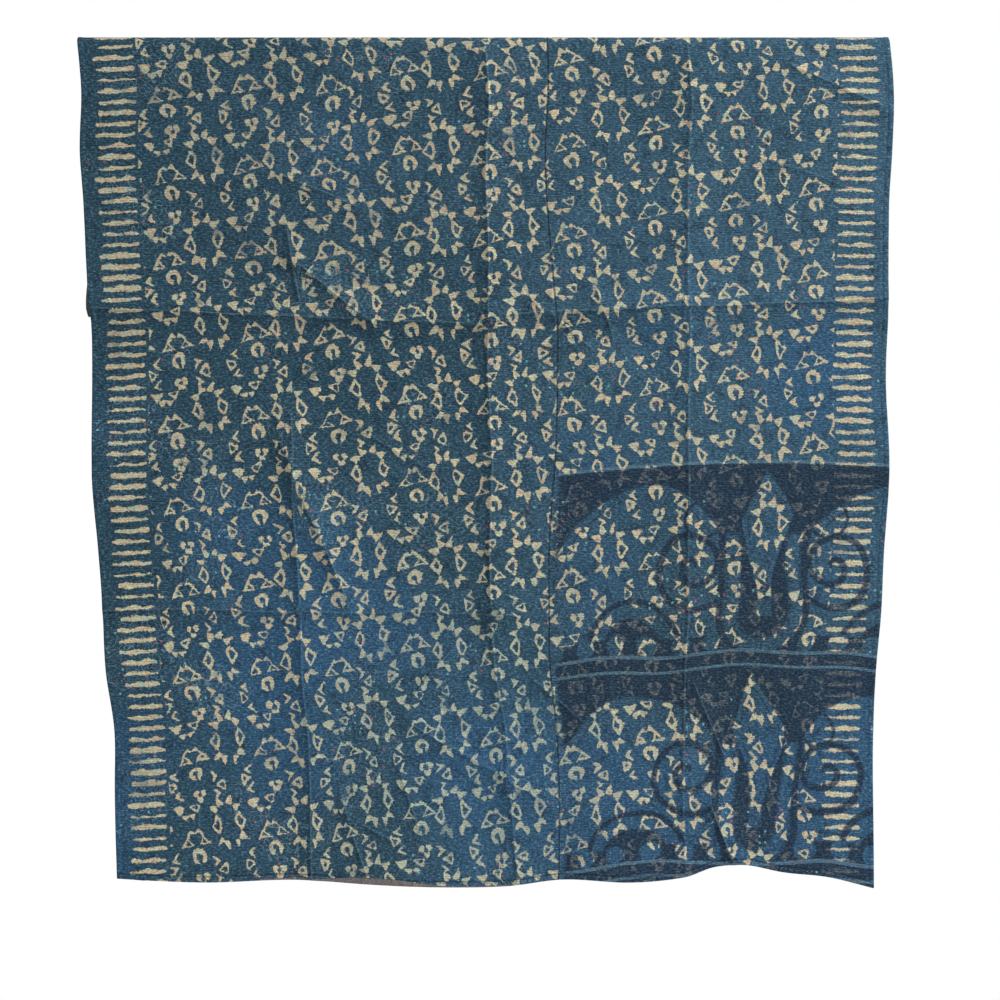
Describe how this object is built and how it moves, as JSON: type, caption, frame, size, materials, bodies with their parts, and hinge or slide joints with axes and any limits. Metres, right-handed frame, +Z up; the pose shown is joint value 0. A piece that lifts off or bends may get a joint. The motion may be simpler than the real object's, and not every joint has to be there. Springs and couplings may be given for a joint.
{
  "type": "throw blanket",
  "caption": "Quilted indigo cotton throw hung folded over a rail, with a long front drop, a short back drop and soft storage creases.",
  "frame": {"origin": "middle of the line where the fold bears on the top of the rail", "axes": "+X to the right seen from the front, +Z up, the long front drop faces -Y"},
  "size_m": [1.3588, 0.0454, 1.419],
  "materials": {
    "quilted_cotton": "matte washed cotton with rows of running stitch"
  },
  "bodies": {
    "root": {"throw": "quilted_cotton"}
  },
  "joints": []
}
